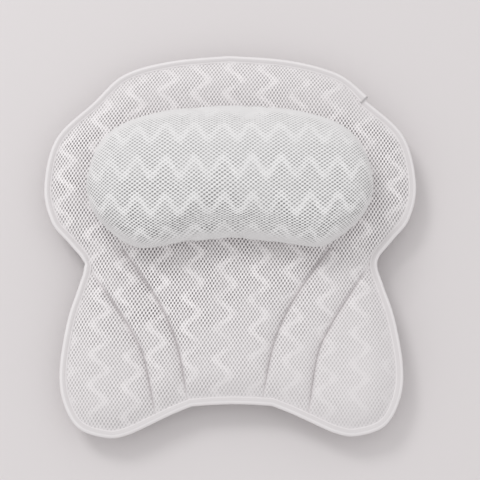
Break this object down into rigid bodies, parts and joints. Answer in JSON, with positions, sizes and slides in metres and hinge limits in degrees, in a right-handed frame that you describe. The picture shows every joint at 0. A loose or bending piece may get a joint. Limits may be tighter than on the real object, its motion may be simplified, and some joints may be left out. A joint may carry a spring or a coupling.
{
  "type": "bath pillow",
  "caption": "Butterfly-shaped mesh bath pillow with a raised kidney-shaped head cushion, folding side wings and suction cups on its back.",
  "frame": {"origin": "middle of the pillow's box, on the plane that the suction cups' lips stand on", "axes": "+Z out of the side that is leaned on, +Y towards the head end, +X to the right seen from the front"},
  "size_m": [0.4, 0.415, 0.1021],
  "materials": {
    "mesh_fabric": "matte",
    "edge_tape": "matte",
    "padding": "matte",
    "webbing": "matte",
    "cup_plastic": "gloss"
  },
  "bodies": {
    "root": {"front_mesh_main": "mesh_fabric", "filling_main": "padding", "back_mesh_main": "mesh_fabric", "edge_tape_head": "edge_tape", "edge_tape_foot": "edge_tape", "cushion_cover": "mesh_fabric", "cushion_filling": "padding", "cushion_base_panel": "mesh_fabric", "cup_strap_top_right": "webbing", "cup_strap_top_left": "webbing", "cup_strap_side_right": "webbing", "cup_strap_side_left": "webbing"},
    "strip_right": {"front_mesh_strip_right": "mesh_fabric", "filling_strip_right": "padding", "back_mesh_strip_right": "mesh_fabric", "edge_tape_strip_right": "edge_tape"},
    "wing_right": {"front_mesh_wing_right": "mesh_fabric", "filling_wing_right": "padding", "back_mesh_wing_right": "mesh_fabric", "edge_tape_wing_right": "edge_tape", "cup_strap_wing_right": "webbing"},
    "strip_left": {"front_mesh_strip_left": "mesh_fabric", "filling_strip_left": "padding", "back_mesh_strip_left": "mesh_fabric", "edge_tape_strip_left": "edge_tape"},
    "wing_left": {"front_mesh_wing_left": "mesh_fabric", "filling_wing_left": "padding", "back_mesh_wing_left": "mesh_fabric", "edge_tape_wing_left": "edge_tape", "cup_strap_wing_left": "webbing"},
    "cup_top_right": {"suction_cup_top_right": "cup_plastic"},
    "cup_top_left": {"suction_cup_top_left": "cup_plastic"},
    "cup_side_right": {"suction_cup_side_right": "cup_plastic"},
    "cup_side_left": {"suction_cup_side_left": "cup_plastic"},
    "cup_wing_right": {"suction_cup_wing_right": "cup_plastic"},
    "cup_wing_left": {"suction_cup_wing_left": "cup_plastic"}
  },
  "joints": [
    {"name": "strip_fold_right", "type": "hinge", "parent": "root", "child": "strip_right", "pos_m": [0.03497, -0.17272, 0.02765], "axis": [-0.3499, -0.9368, 0], "range_deg": [-20, 30], "stiffness_Nm_per_rad": 0.3},
    {"name": "wing_fold_right", "type": "hinge", "parent": "strip_right", "child": "wing_right", "pos_m": [0.07434, -0.18957, 0.02765], "axis": [-0.3861, -0.9224, 0], "range_deg": [-30, 60], "stiffness_Nm_per_rad": 0.2},
    {"name": "strip_fold_left", "type": "hinge", "parent": "root", "child": "strip_left", "pos_m": [-0.03497, -0.17272, 0.02765], "axis": [-0.3499, 0.9368, 0], "range_deg": [-20, 30], "stiffness_Nm_per_rad": 0.3},
    {"name": "wing_fold_left", "type": "hinge", "parent": "strip_left", "child": "wing_left", "pos_m": [-0.07434, -0.18957, 0.02765], "axis": [-0.3861, 0.9224, 0], "range_deg": [-30, 60], "stiffness_Nm_per_rad": 0.2},
    {"name": "cup_spin_top_right", "type": "hinge", "parent": "root", "child": "cup_top_right", "pos_m": [0.08, 0.12865, 0], "axis": [0, 0, 1], "continuous": true},
    {"name": "cup_spin_top_left", "type": "hinge", "parent": "root", "child": "cup_top_left", "pos_m": [-0.08, 0.12865, 0], "axis": [0, 0, 1], "continuous": true},
    {"name": "cup_spin_side_right", "type": "hinge", "parent": "root", "child": "cup_side_right", "pos_m": [0.134, 0.0415, 0], "axis": [0, 0, 1], "continuous": true},
    {"name": "cup_spin_side_left", "type": "hinge", "parent": "root", "child": "cup_side_left", "pos_m": [-0.134, 0.0415, 0], "axis": [0, 0, 1], "continuous": true},
    {"name": "cup_spin_wing_right", "type": "hinge", "parent": "wing_right", "child": "cup_wing_right", "pos_m": [0.138, -0.13695, 0], "axis": [0, 0, 1], "continuous": true},
    {"name": "cup_spin_wing_left", "type": "hinge", "parent": "wing_left", "child": "cup_wing_left", "pos_m": [-0.138, -0.13695, 0], "axis": [0, 0, 1], "continuous": true}
  ]
}
